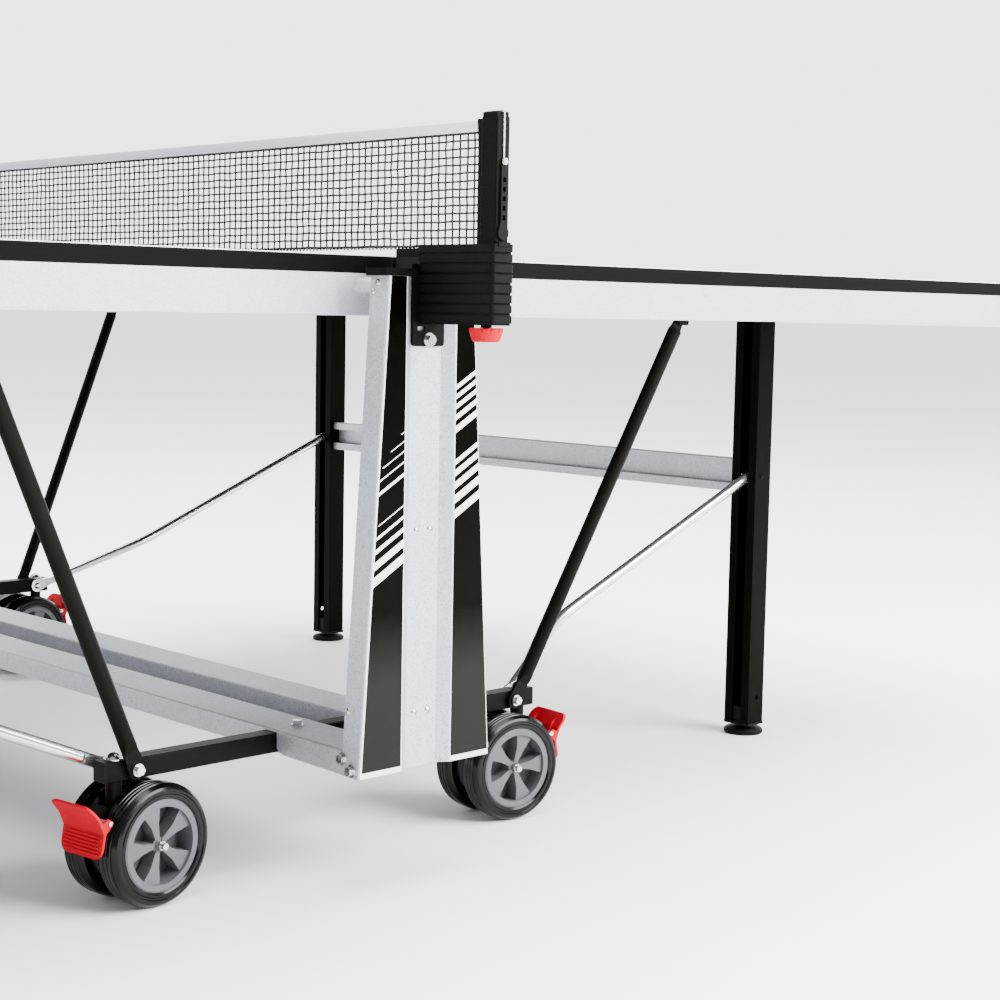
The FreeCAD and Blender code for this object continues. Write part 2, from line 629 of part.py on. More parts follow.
def leg():
    """Slotted C-section leg with rounded hinge ears and its two cross pins."""
    t, y0, y1 = LEG_SHEET, LEG_Y - LEG_HALF_Y, LEG_Y + LEG_HALF_Y
    web = box(LEG_X1 - t, LEG_X1, y0, y1, LEG_Z0, LEG_Z1)
    lip_top = LEG_PIVOT_Z - 20
    lips = [box(LEG_X0, LEG_X0 + t, y0, LEG_Y - LEG_SLOT / 2, LEG_Z0, lip_top),
            box(LEG_X0, LEG_X0 + t, LEG_Y + LEG_SLOT / 2, y1, LEG_Z0, lip_top)]
    walls = []
    for y in (y0, y1 - t):
        wall = box(LEG_X0, LEG_X1, y, y + t, LEG_Z0, LEG_Z1)
        ear = rod((LEG_PIVOT_X, y, LEG_PIVOT_Z), (LEG_PIVOT_X, y + t, LEG_PIVOT_Z), 11)
        neck = slab_xz([(LEG_PIVOT_X, LEG_PIVOT_Z - 11), (LEG_X0 + 1, lip_top - 12), (LEG_X0 + 1, LEG_Z1 - 3),
                        (LEG_PIVOT_X, LEG_PIVOT_Z + 11)], y, y + t)
        walls += [wall, ear, neck]
    body = join([web] + lips + walls)
    body = round_edges(body, 2.0, lambda e: e.Length > 600 and e.CenterOfMass.x > LEG_X1 - 0.1)
    pivot = rod((LEG_PIVOT_X, y0, LEG_PIVOT_Z), (LEG_PIVOT_X, y1, LEG_PIVOT_Z), 5)
    rod_pin = rod((ROD_TOP[0], y0, ROD_TOP[2]), (ROD_TOP[0], y1, ROD_TOP[2]), 3.5)
    heads = [dome((ROD_TOP[0], y1, ROD_TOP[2]), 5.5, 2.5, (0, 1, 0)),
             dome((ROD_TOP[0], y0, ROD_TOP[2]), 5.5, 2.5, (0, -1, 0)),
             dome((LEG_PIVOT_X, y1, LEG_PIVOT_Z), 7, 3, (0, 1, 0)),
             dome((LEG_PIVOT_X, y0, LEG_PIVOT_Z), 7, 3, (0, -1, 0)),
             dome((LEG_X1, LEG_Y, 432), 4.5, 2.2, (1, 0, 0))]
    hole = rod((962, y1 - 5, 62), (962, y1 + 5, 62), 4)
    return join([body, pivot, rod_pin] + heads).cut(hole)


def leg_cap():
    """Plastic plug in the foot of the leg, threaded for the levelling foot."""
    t = LEG_SHEET
    rim = box(LEG_X0 - 1, LEG_X1 + 1, LEG_Y - LEG_HALF_Y - 1, LEG_Y + LEG_HALF_Y + 1, LEG_Z0 - 4, LEG_Z0)
    rim = round_edges(rim, 2, lambda e: abs(e.CenterOfMass.z - LEG_Z0 + 2) < 0.1)
    reach = LEG_HALF_Y - t
    plug = box(LEG_X0 + t, LEG_X1 - t, LEG_Y - reach, LEG_Y + reach, LEG_Z0, LEG_Z0 + 26)
    bore = rod((960, LEG_Y, 0), (960, LEG_Y, 60), 5 + RUN_FIT)
    return join([rim, plug]).cut(bore)


def leg_crossbar():
    """C-section between the two legs of one end, open towards the net."""
    y = LEG_Y - LEG_HALF_Y
    t = 2.0
    wall = box(BAR_X1 - t, BAR_X1, -y, y, BAR_Z0, BAR_Z1)
    flanges = [box(BAR_X0, BAR_X1, -y, y, BAR_Z0, BAR_Z0 + t), box(BAR_X0, BAR_X1, -y, y, BAR_Z1 - t, BAR_Z1)]
    lips = [box(BAR_X0, BAR_X0 + t, -y, y, BAR_Z0, BAR_Z0 + BAR_LIP),
            box(BAR_X0, BAR_X0 + t, -y, y, BAR_Z1 - BAR_LIP, BAR_Z1)]
    body = join([wall] + flanges + lips)
    return round_edges(body, 1.5, lambda e: e.Length > 900 and e.CenterOfMass.x < BAR_X0 + 0.1
                       and (e.CenterOfMass.z < BAR_Z0 + 0.1 or e.CenterOfMass.z > BAR_Z1 - 0.1))


def levelling_foot():
    """Screw-in foot: a domed disc on a threaded stem."""
    disc = spin([(0, 0), (FOOT_R - 2, 0), (FOOT_R, 2), (FOOT_R, 6), (FOOT_R - 3, 9), (12, FOOT_T),
                 (0, FOOT_T)], (0, 0, 0), axis_y=False)
    disc.translate(V(960, LEG_Y, 0))
    stem = rod((960, LEG_Y, FOOT_T), (960, LEG_Y, LEG_Z0 + 24), 5)
    nut = hexagon((960, LEG_Y, FOOT_T), 15, LEG_Z0 - 4 - FOOT_T - BARE_GAP, (0, 0, 1))
    return join([disc, stem, nut])


# ---- casters, drawn with the stem on the Z axis and the pedal towards +X --------------------------
def caster_fork():
    """Centre body between the wheels, with its swivel boss and the pedal lug."""
    half = WHEEL_GAP / 2 - 3
    axle_x = -TRAIL
    boss = rod((0, 0, 100), (0, 0, TUBE_Z - BARE_GAP), 9.5)
    hood = rod((axle_x, -half, WHEEL_R), (axle_x, half, WHEEL_R), 62)
    keep = slab_xz([(axle_x - 20, 150), (axle_x - 4, WHEEL_R - 14), (axle_x + 12, WHEEL_R - 14),
                    (axle_x + 30, WHEEL_R - 4), (60, 96), (60, 150)], -half, half)
    hood = hood.common(keep)
    hood = hood.common(box(-200, 200, -half, half, 0, TUBE_Z - 4.5))
    window = slab_xz([(axle_x + 18, 92), (axle_x + 40, 92), (axle_x + 40, 108), (axle_x + 26, 112)], 5, half + 1)
    hood = hood.cut(window).cut(mirror_y(window))
    px, pz = PEDAL_PIN
    lug = slab_xz([(8, 114), (14, 88), (px - 1, pz - 7.5), (px + 5.5, pz - 3), (px + 5.5, pz + 3), (px - 1, pz + 7),
                   (20, 124)], -half, half)
    body = join([boss, hood, lug])
    body = body.cut(rod((0, 0, 90), (0, 0, 160), STEM_BOLT_R + RUN_FIT))
    body = body.cut(rod((0, 0, 60), (0, 0, 112), 7.5))
    body = body.cut(rod((axle_x, -half - 1, WHEEL_R), (axle_x, half + 1, WHEEL_R), AXLE_R))
    return body.cut(rod((px, -half - 1, pz), (px, half + 1, pz), PIN_R))


def caster_axle():
    """Axle with a hex nut and a domed end each side, and the pin the pedal rocks on."""
    end = WHEEL_GAP / 2 + WHEEL_W
    parts = [rod((-TRAIL, -end - 4, WHEEL_R), (-TRAIL, end + 4, WHEEL_R), AXLE_R)]
    for side in (-1, 1):
        y = side * (end - 9 + BARE_GAP)
        parts.append(hexagon((-TRAIL, y, WHEEL_R), 10, 7, (0, side, 0)))
        parts.append(dome((-TRAIL, y + side * 7, WHEEL_R), 4.5, 3.5, (0, side, 0)))
    px, pz = PEDAL_PIN
    reach = PEDAL_HALF + 1.2
    return [join(parts), rod((px, -reach, pz), (px, reach, pz), PIN_R)]


def caster_tyre(side):
    """Ribbed rubber tyre; side is the way its outer face looks."""
    w, r = WHEEL_W, WHEEL_R
    y_in = WHEEL_GAP / 2
    outline = [(RIM_R, 1), (RIM_R + 3, 0), (r - 6, 0), (r - 2, 2.5), (r - 0.4, 6)]
    for i in range(3):
        y = 9 + 6 * i
        outline += [(r, y), (r, y + 3.4), (r - 1.4, y + 4.2), (r - 1.4, y + 5.2)]
    outline += [(r - 0.6, w - 6), (r - 4, w - 1.2), (r - 7, w), (r - 9, w), (r - 10, w - 1.4), (r - 12, w - 1.4),
                (r - 13, w - 0.4), (RIM_R + 2.5, w - 0.4), (RIM_R, w - 2)]
    tyre = spin([(a, y_in + b) for a, b in outline], (-TRAIL, 0, WHEEL_R))
    return tyre if side > 0 else mirror_y(tyre)


def caster_hub(side):
    """Five-spoke hub: flared spokes, a rim ring and a boss that turns on the axle."""
    w, y_in = WHEEL_W, WHEEL_GAP / 2
    ring = spin([(RIM_R - RIM_RING, 4), (RIM_R, 4), (RIM_R, w - 2.5), (RIM_R - 2, w - 1), (RIM_R - RIM_RING, w - 1)],
                (0, y_in, 0))
    bore = AXLE_R + RUN_FIT
    boss = spin([(bore, BARE_GAP), (9, BARE_GAP), (9, w - 9), (bore, w - 9)], (0, y_in, 0))
    back = spin([(8, 3), (RIM_R - 1, 4.5), (RIM_R - 1, 6.5), (8, 5)], (0, y_in, 0))
    pieces = [ring, boss, back]
    for i in range(SPOKES):
        turn = 360.0 / SPOKES * i
        front = slab_xz([(7, -3), (26, -6), (RIM_R - RIM_RING + 1.5, -14), (RIM_R - RIM_RING + 1.5, 14), (26, 6),
                         (7, 3)], y_in + 9, y_in + w - 5)
        slope = prism([(-6, y_in + w - 9, -20), (RIM_R, y_in + w - 2.5, -20), (RIM_R, y_in + w, -20),
                       (-6, y_in + w, -20)], (0, 0, 40))
        front = front.cut(slope)
        front.rotate(V(0, 0, 0), V(0, 1, 0), turn)
        pieces.append(front)
    hub = join(pieces)
    hub.translate(V(-TRAIL, 0, WHEEL_R))
    return hub if side > 0 else mirror_y(hub)


def brake_pedal():
    """Red rocker: a smooth upper wing over a ribbed plate, with two lugs on a pin."""
    px, pz = PEDAL_PIN
    half, t = PEDAL_HALF, PEDAL_T
    foot, root = (px + 15, pz - 40), (px + 9.5, pz - 11)
    plate = slab_xz([foot, root, (root[0] - t, root[1]), (foot[0] - t, foot[1])], -half, half)
    wing = slab_xz([root, (px + 16, pz + 5), (px + 30, pz + 22), (px + 27.3, pz + 24.2), (px + 12.8, pz + 6.3),
                    (root[0] - t, root[1])], -half, half)
    blank = box(px - 10, px + 60, -half, half, foot[1], pz + 24.2)
    outline = round_edges(blank, 12, lambda e: abs(e.Length - 70) < 0.1)
    shell = join([plate, wing]).common(outline)
    ribs = []
    lean = (foot[0] - root[0]) / (root[1] - foot[1])
    for i in range(6):
        z = root[1] - 4 - 4 * i
        x = root[0] + (root[1] - z) * lean
        ribs.append(box(x - 2.2, x + 0.9, -half + 5, half - 5, z - 1.1, z + 1.1))
    lugs = [lug for y in (-half, half - t) for lug in [slab_xz(
        [(px + 8.5, pz - 14), (px + 12, pz + 1), (px + 2, pz + 6), (px - 4.5, pz), (px - 2, pz - 4)], y, y + t)]]
    webs = [slab_xz([(px + 8, pz - 8), (px + 14, pz + 6), (px + 22, pz + 17), (px + 13, pz + 12), (px + 7, pz - 1)],
                    y - 1.2, y + 1.2) for y in (-20, 20)]
    body = join([shell] + ribs + lugs + webs)
    return body.cut(rod((px, -half - 1, pz), (px, half + 1, pz), PIN_R + RUN_FIT))


def place_caster(shape, side, row):
    """Stand a caster piece under its stem, swivelled to its rest angle."""
    piece = shape.copy()
    if side == "left":
        piece.rotate(V(0, 0, 0), V(0, 0, 1), 180)
    piece.rotate(V(0, 0, 0), V(0, 0, 1), CASTER_YAW[(side, row)])
    piece.translate(V(STEM_X if side == "right" else -STEM_X, TUBE_Y if row == "far" else -TUBE_Y, 0))
    return piece


# ---- build ------------------------------------------------------------------------------------------------
def build_chassis():
    save("upright_far", upright())
    save("upright_near", mirror_y(upright()))
    save("upright_caps", near_and_far(upright_cap()))
    save("chassis_beam", beam())
    save("cross_tubes", near_and_far(cross_tube()))
    save("tube_end_caps", four_corners(tube_end_cap()))
    save("frame_fasteners", frame_fasteners() + four_corners(brace_foot_bolt()))


def build_net():
    save("net_mesh", net_mesh())
    save("net_tape", net_tape())
    save("net_posts", near_and_far(net_post()))
    save("net_clamps", near_and_far(net_clamp()))
    save("clamp_knob_far", knob())
    save("clamp_knob_near", mirror_y(knob()))
    save("clamp_brackets", near_and_far(clamp_bracket()))
    save("tension_cords", near_and_far(tension_cord()))
    save("tension_straps", near_and_far(tension_strap()))


def build_half(side):
    def place(shapes):
        return [mirror_x(s) for s in shapes] if side == "left" else shapes

    save("tabletop_" + side, place([board()]))
    save("side_rails_" + side, place(near_and_far(side_rail())))
    outer_end = end_rail(END_X, -1)
    net_end = end_rail(APRON_START_X, 1)
    save("end_rails_" + side, place([outer_end, net_end] + near_and_far(rail_return())))
    save("bearers_" + side, place(bearers()))
    save("guide_shoes_" + side, place(near_and_far(guide_shoe())))
    save("braces_" + side, place(near_and_far(brace())))
    save("link_rods_" + side, place(near_and_far(link_rod())))
    save("legs_" + side, place(near_and_far(leg())))
    save("leg_crossbar_" + side, place([leg_crossbar()]))
    save("leg_caps_" + side, place(near_and_far(leg_cap())))
    foot = levelling_foot()
    save("foot_far_" + side, place([foot]))
    save("foot_near_" + side, place([mirror_y(foot)]))


def build_casters():
    for side in ("left", "right"):
        for row in ("near", "far"):
            tag = side + "_" + row
            save("caster_fork_" + tag, place_caster(caster_fork(), side, row))
            save("caster_axle_" + tag, [place_caster(piece, side, row) for piece in caster_axle()])
            save("caster_tyres_" + tag, [place_caster(caster_tyre(s), side, row) for s in (-1, 1)])
            save("caster_hubs_" + tag, [place_caster(caster_hub(s), side, row) for s in (-1, 1)])
            save("brake_pedal_" + tag, place_caster(brake_pedal(), side, row))


os.makedirs("parts", exist_ok=True)
build_chassis()
build_net()
for half_side in ("left", "right"):
    build_half(half_side)
build_casters()
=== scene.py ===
"""Looks of the folding ping pong table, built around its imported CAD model.

Metres, +Z up, X along the playing length, Y along the net, as in the CAD model.
"""

import math

import bmesh
import bpy
from mathutils import Matrix, Vector
from mathutils import noise


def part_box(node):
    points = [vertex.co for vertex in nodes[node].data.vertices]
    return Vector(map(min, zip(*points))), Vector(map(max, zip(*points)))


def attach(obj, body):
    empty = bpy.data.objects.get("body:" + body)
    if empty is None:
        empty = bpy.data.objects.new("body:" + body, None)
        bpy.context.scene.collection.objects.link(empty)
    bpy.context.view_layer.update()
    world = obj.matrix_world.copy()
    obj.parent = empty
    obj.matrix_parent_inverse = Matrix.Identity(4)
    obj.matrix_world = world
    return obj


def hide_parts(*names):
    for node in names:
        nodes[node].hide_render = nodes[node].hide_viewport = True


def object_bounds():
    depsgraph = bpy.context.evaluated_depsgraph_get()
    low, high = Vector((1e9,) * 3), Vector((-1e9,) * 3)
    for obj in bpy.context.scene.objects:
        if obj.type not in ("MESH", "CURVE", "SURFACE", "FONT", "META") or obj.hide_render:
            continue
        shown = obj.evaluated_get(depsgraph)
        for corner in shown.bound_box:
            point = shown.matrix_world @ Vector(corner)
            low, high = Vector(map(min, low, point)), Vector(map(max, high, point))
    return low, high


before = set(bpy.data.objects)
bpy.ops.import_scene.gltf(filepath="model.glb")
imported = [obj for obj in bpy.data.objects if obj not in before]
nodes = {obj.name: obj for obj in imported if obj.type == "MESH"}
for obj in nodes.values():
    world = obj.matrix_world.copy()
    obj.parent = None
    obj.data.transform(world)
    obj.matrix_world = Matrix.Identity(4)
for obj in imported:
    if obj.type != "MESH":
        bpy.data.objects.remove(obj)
cad_low, cad_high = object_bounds()
board_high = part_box("tabletop_right")[1]
net_low, net_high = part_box("net_mesh")
upright_low, upright_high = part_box("upright_far")
SIDES = {"left": -1, "right": 1}
ROWS = {"near": -1, "far": 1}
MM = 0.001


# ---- camera -------------------------------------------------------------------
CAMERA_AT = (-1.4618, -2.4684, 0.6977)
CAMERA_YAW = math.radians(43.97)       # from +Y towards +X
CAMERA_PITCH = math.radians(5.86)      # below level
CAMERA_ROLL = math.radians(1.07)
CAMERA_LENS = 66.6
CLIP_END = 400.0                       # beyond the corners of the floor


def make_camera():
    data = bpy.data.cameras.new("camera")
    data.lens = CAMERA_LENS
    data.sensor_width = 36.0
    data.clip_end = CLIP_END
    camera = bpy.data.objects.new("camera", data)
    bpy.context.scene.collection.objects.link(camera)
    look = Vector((math.sin(CAMERA_YAW) * math.cos(CAMERA_PITCH),
                   math.cos(CAMERA_YAW) * math.cos(CAMERA_PITCH), -math.sin(CAMERA_PITCH)))
    right = look.cross(Vector((0, 0, 1))).normalized()
    up = right.cross(look).normalized()
    c, s = math.cos(CAMERA_ROLL), math.sin(CAMERA_ROLL)
    right, up = right * c + up * s, up * c - right * s
    turn = Matrix((right, up, -look)).transposed()
    camera.matrix_world = Matrix.Translation(CAMERA_AT) @ turn.to_4x4()
    bpy.context.scene.camera = camera


# ---- material helpers -----------------------------------------------------------
class Shade:
    """A node material with short ways to add the nodes used here."""

    def __init__(self, name):
        self.mat = bpy.data.materials.new(name)
        self.mat.use_nodes = True
        self.tree = self.mat.node_tree
        self.bsdf = self.tree.nodes["Principled BSDF"]
        self.coords = self.add("ShaderNodeTexCoord").outputs["Object"]

    def add(self, kind, **settings):
        node = self.tree.nodes.new(kind)
        for key, value in settings.items():
            setattr(node, key, value)
        return node

    def link(self, a, b):
        self.tree.links.new(a, b)

    def set(self, **values):
        for key, value in values.items():
            self.bsdf.inputs[key.replace("_", " ")].default_value = value

    def noise(self, scale, detail, rough=0.5):
        node = self.add("ShaderNodeTexNoise")
        node.inputs["Scale"].default_value = scale
        node.inputs["Detail"].default_value = detail
        node.inputs["Roughness"].default_value = rough
        self.link(self.coords, node.inputs["Vector"])
        return node.outputs["Fac"]

    def cells(self, scale, output="Distance"):
        node = self.add("ShaderNodeTexVoronoi")
        node.inputs["Scale"].default_value = scale
        self.link(self.coords, node.inputs["Vector"])
        return node.outputs[output]

    def ramp(self, fac, stops):
        """stops: list of (position, colour or grey)."""
        node = self.add("ShaderNodeValToRGB")
        ramp = node.color_ramp
        while len(ramp.elements) < len(stops):
            ramp.elements.new(0.5)
        for element, (at, value) in zip(ramp.elements, stops):
            element.position = at
            grey = isinstance(value, (int, float))
            element.color = (value, value, value, 1) if grey else (*value, 1)
        self.link(fac, node.inputs["Fac"])
        return node.outputs["Color"]

    def math(self, operation, a, b=0.0):
        node = self.add("ShaderNodeMath", operation=operation)
        for slot, value in zip(node.inputs, (a, b)):
            if isinstance(value, (int, float)):
                slot.default_value = value
            else:
                self.link(value, slot)
        return node.outputs[0]

    def mix(self, fac, a, b):
        node = self.add("ShaderNodeMix", data_type="RGBA")
        for slot, value in ((node.inputs[0], fac), (node.inputs[6], a), (node.inputs[7], b)):
            if isinstance(value, (int, float)):
                slot.default_value = value
            elif isinstance(value, tuple):
                slot.default_value = (*value, 1)
            else:
                self.link(value, slot)
        return node.outputs[2]

    def bump(self, height, strength, distance):
        node = self.add("ShaderNodeBump")
        node.inputs["Strength"].default_value = strength
        node.inputs["Distance"].default_value = distance
        self.link(height, node.inputs["Height"])
        self.link(node.outputs["Normal"], self.bsdf.inputs["Normal"])

    def axis(self, name, source=None):
        node = self.add("ShaderNodeSeparateXYZ")
        self.link(source or self.coords, node.inputs[0])
        return node.outputs[name]

    def colour(self, socket):
        self.link(socket, self.bsdf.inputs["Base Color"])

    def rough(self, socket):
        self.link(socket, self.bsdf.inputs["Roughness"])


def galvanised():
    s = Shade("galvanised")
    spangle = s.cells(150.0, output="Color")
    flake = s.axis("X", spangle)
    streak = s.noise(22.0, 4.0, 0.6)
    fine = s.noise(900.0, 2.0)
    grit = s.ramp(s.axis("X", s.cells(760.0, output="Color")), [(0.0, 0.0), (0.35, 1.0)])
    tone = s.math("ADD", s.math("MULTIPLY", flake, 0.25), s.math("MULTIPLY", streak, 0.75))
    sheet = s.ramp(tone, [(0.15, (0.44, 0.455, 0.495)), (0.85, (0.56, 0.575, 0.615))])
    s.colour(s.mix(grit, (0.29, 0.30, 0.33), sheet))
    s.rough(s.ramp(s.math("ADD", s.math("MULTIPLY", tone, 0.7), s.math("MULTIPLY", fine, 0.3)),
                   [(0.2, 0.40), (0.8, 0.56)]))
    s.set(Metallic=0.7)
    s.bump(fine, 0.12, 0.0003)
    return s.mat


def bright_zinc(name="bright_zinc", base=0.58, rough=(0.14, 0.30), bump=0.08):
    s = Shade(name)
    patch = s.noise(160.0, 4.0, 0.6)
    s.colour(s.ramp(patch, [(0.2, base * 0.82), (0.8, base)]))
    s.rough(s.ramp(patch, [(0.25, rough[0]), (0.75, rough[1])]))
    s.set(Metallic=0.95)
    s.bump(s.noise(500.0, 2.0), bump, 0.0003)
    return s.mat


def black_paint(name, level=1.0):
    s = Shade(name)
    grain = s.noise(1400.0, 2.0)
    cloud = s.noise(9.0, 3.0)
    # a level below 1 makes a darker, less glossy copy of the coat, which paints shade
    dark, light = Vector((0.0022, 0.0023, 0.0019)) * level, Vector((0.0036, 0.0037, 0.0030)) * level
    s.colour(s.ramp(cloud, [(0.3, dark), (0.7, light)]))
    s.rough(s.ramp(grain, [(0.2, 0.34), (0.8, 0.46)]))
    s.bump(grain, 0.2, 0.0004)
    s.set(Specular_IOR_Level=0.04 * level)
    return s.mat


def silver_apron():
    s = Shade("silver_sparkle_coat")
    glint = s.cells(1500.0, output="Color")
    flake = s.axis("X", glint)
    cloud = s.noise(14.0, 3.0)
    base = s.ramp(cloud, [(0.3, (0.47, 0.48, 0.545)), (0.7, (0.51, 0.52, 0.585))])
    s.colour(s.mix(s.ramp(flake, [(0.80, 0.0), (0.96, 0.75)]), base, (0.93, 0.93, 0.97)))
    s.rough(s.ramp(flake, [(0.1, 0.55), (0.9, 0.38)]))
    s.set(Metallic=0.25)
    s.bump(s.noise(1800.0, 2.0), 0.2, 0.0003)
    return s.mat


def moulded(name, dark, light, rough=(0.35, 0.5), grain_scale=1600.0, bump=0.25, shine=0.5):
    """Moulded plastic with a fine grain and slight unevenness of tone."""
    s = Shade(name)
    grain = s.noise(grain_scale, 2.0)
    cloud = s.noise(25.0, 3.0)
    s.colour(s.ramp(cloud, [(0.3, dark), (0.7, light)]))
    s.rough(s.ramp(s.math("ADD", s.math("MULTIPLY", grain, 0.5), s.math("MULTIPLY", cloud, 0.5)),
                   [(0.3, rough[0]), (0.7, rough[1])]))
    s.bump(grain, bump, 0.0003)
    s.set(Specular_IOR_Level=shine)
    return s.mat


LINE_WIDTH = 20 * MM
CENTRE_LINE_WIDTH = 3 * MM
EDGE_REACH = 1.2 * MM                  # how near the top face the black edge band comes


def playing_board():
    """Matt blue top with its white lines; the board's edge band is black."""
    s = Shade("playing_board")
    x, y, z = s.axis("X"), s.axis("Y"), s.axis("Z")
    near_side = s.math("GREATER_THAN", s.math("ABSOLUTE", y), board_high.y - LINE_WIDTH)
    near_end = s.math("GREATER_THAN", s.math("ABSOLUTE", x), cad_high.x - LINE_WIDTH)
    centre = s.math("LESS_THAN", s.math("ABSOLUTE", y), CENTRE_LINE_WIDTH / 2)
    line = s.math("MAXIMUM", s.math("MAXIMUM", near_side, near_end), centre)
    cloud = s.noise(7.0, 4.0)
    blue = s.ramp(cloud, [(0.3, (0.0048, 0.0165, 0.062)), (0.7, (0.0054, 0.0185, 0.069))])
    top = s.mix(line, blue, (0.78, 0.79, 0.80))
    upper = s.math("GREATER_THAN", z, board_high.z - EDGE_REACH)
    s.colour(s.mix(upper, (0.0012, 0.0012, 0.0013), top))
    s.set(Specular_IOR_Level=0.04)
    grain = s.noise(900.0, 2.0)
    s.rough(s.ramp(grain, [(0.2, 0.48), (0.8, 0.6)]))
    s.bump(grain, 0.15, 0.0003)
    return s.mat


def tyre_rubber():
    s = Shade("tyre_rubber")
    grain = s.noise(1100.0, 3.0)
    scuff = s.noise(40.0, 5.0, 0.65)
    s.colour(s.ramp(scuff, [(0.35, (0.0012, 0.0012, 0.0013)), (0.75, (0.0024, 0.0024, 0.0025))]))
    s.rough(s.ramp(scuff, [(0.3, 0.13), (0.75, 0.20)]))
    s.bump(grain, 0.05, 0.0003)
    s.set(Specular_IOR_Level=0.16)
    return s.mat


def cloth(name, dark, light, scale):
    s = Shade(name)
    weave = s.cells(scale)
    tone = s.noise(60.0, 3.0)
    s.colour(s.ramp(tone, [(0.3, dark), (0.7, light)]))
    s.rough(s.ramp(weave, [(0.0, 0.85), (0.7, 0.73)]))
    s.bump(weave, 0.5, 0.0003)
    return s.mat


def white_print():
    """White printed film with an almost even tone."""
    s = Shade("white_film")
    cloud = s.noise(18.0, 3.0)
    s.colour(s.ramp(cloud, [(0.3, 0.82), (0.7, 0.86)]))
    s.rough(s.ramp(cloud, [(0.3, 0.35), (0.7, 0.43)]))
    s.set(Specular_IOR_Level=0.12)
    return s.mat


def dark_print():
    """Black printed film with a painted reflection of the floor: dark grey over its lower part, black above.
    """
    s = Shade("dark_film")
    ripple = s.noise(60.0, 3.0)
    height = s.math("ADD", s.axis("Z"), s.math("MULTIPLY", ripple, 0.012))
    # painted floor reflection: dark grey below the first height, black above the second
    floor_reflection_stops = [(REFLECTION_FADE_LOW, (0.0125, 0.0128, 0.0112)), (REFLECTION_FADE_HIGH, (0.0007, 0.0008, 0.0005))]
    s.colour(s.ramp(height, floor_reflection_stops))
    s.rough(s.ramp(ripple, [(0.3, 0.16), (0.7, 0.24)]))
    s.set(Specular_IOR_Level=0.02)
    return s.mat


def paint(names, material):
    for name in names:
        obj = nodes[name]
        obj.data.materials.clear()
        obj.data.materials.append(material)


def matching(*starts):
    return [n for n in nodes if n.startswith(starts)]


# ---- mesh helpers --------------------------------------------------------------------
def new_mesh(name, bm, material, body, smooth=False):
    data = bpy.data.meshes.new(name)
    bmesh.ops.recalc_face_normals(bm, faces=bm.faces)
    bm.to_mesh(data)
    bm.free()
    data.materials.append(material)
    if smooth:
        data.shade_smooth()
    obj = bpy.data.objects.new(name, data)
    bpy.context.scene.collection.objects.link(obj)
    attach(obj, body)
    return obj


def add_plate(bm, outline, out, thick):
    """A closed thin plate: outline points and the direction it stands proud."""
    push = Vector(out) * thick
    low = [bm.verts.new(Vector(p)) for p in outline]
    high = [bm.verts.new(Vector(p) + push) for p in outline]
    bm.faces.new(low)
    bm.faces.new(list(reversed(high)))
    for i in range(len(outline)):
        j = (i + 1) % len(outline)
        bm.faces.new((low[i], low[j], high[j], high[i]))


def add_tube(bm, points, radius, sides):
    """A closed tube along points."""
    rings = []
    for i, p in enumerate(points):
        a, b = points[max(i - 1, 0)], points[min(i + 1, len(points) - 1)]
        along = (b - a).normalized()
        side = along.orthogonal().normalized() if not rings else (side - along * side.dot(along)).normalized()
        other = along.cross(side)
        ring = [bm.verts.new(p + (side * math.cos(t) + other * math.sin(t)) * radius)
                for t in (2 * math.pi * k / sides for k in range(sides))]
        rings.append(ring)
    for ring, after in zip(rings, rings[1:]):
        for k in range(sides):
            j = (k + 1) % sides
            bm.faces.new((ring[k], ring[j], after[j], after[k]))
    bm.faces.new(list(reversed(rings[0])))
    bm.faces.new(rings[-1])


# ---- net ------------------------------------------------------------------------------
THREAD_R = 1.2 * MM
THREAD_SIDES, FRINGE_SIDES = 5, 4
MESH_STEP_Y, MESH_STEP_Z = 12.2 * MM, 9.4 * MM
EDGE_CORD, FRINGE_CORD = 1.3, 0.7      # their thickness against the mesh thread
FRINGE, FRINGE_STEP = 4.2 * MM, 3.4 * MM
FRINGE_LIFT, FRINGE_UNEVEN = 0.8 * MM, 1.2 * MM    # how far above the net's box the loops end
NET_LEAN, KNOT_WANDER = 2.2 * MM, 1.6 * MM
KNOT_DROP = 0.8                        # a knot's wander up and down, against that sideways


def net_lean(y, z):
    """How far the mesh leans out of its plane: nothing at the tape, the most at its foot."""
    hang = 1 - (z - net_low.z) / (net_high.z - net_low.z)
    return noise.noise(Vector((y * 3.1, z * 4.0, 1.7))) * NET_LEAN * hang


def knot_shift(y, z, layer):
    """How far a knot is off its even place."""
    return noise.noise(Vector((y * 41.0, z * 55.0, 9.1 + layer))) * KNOT_WANDER


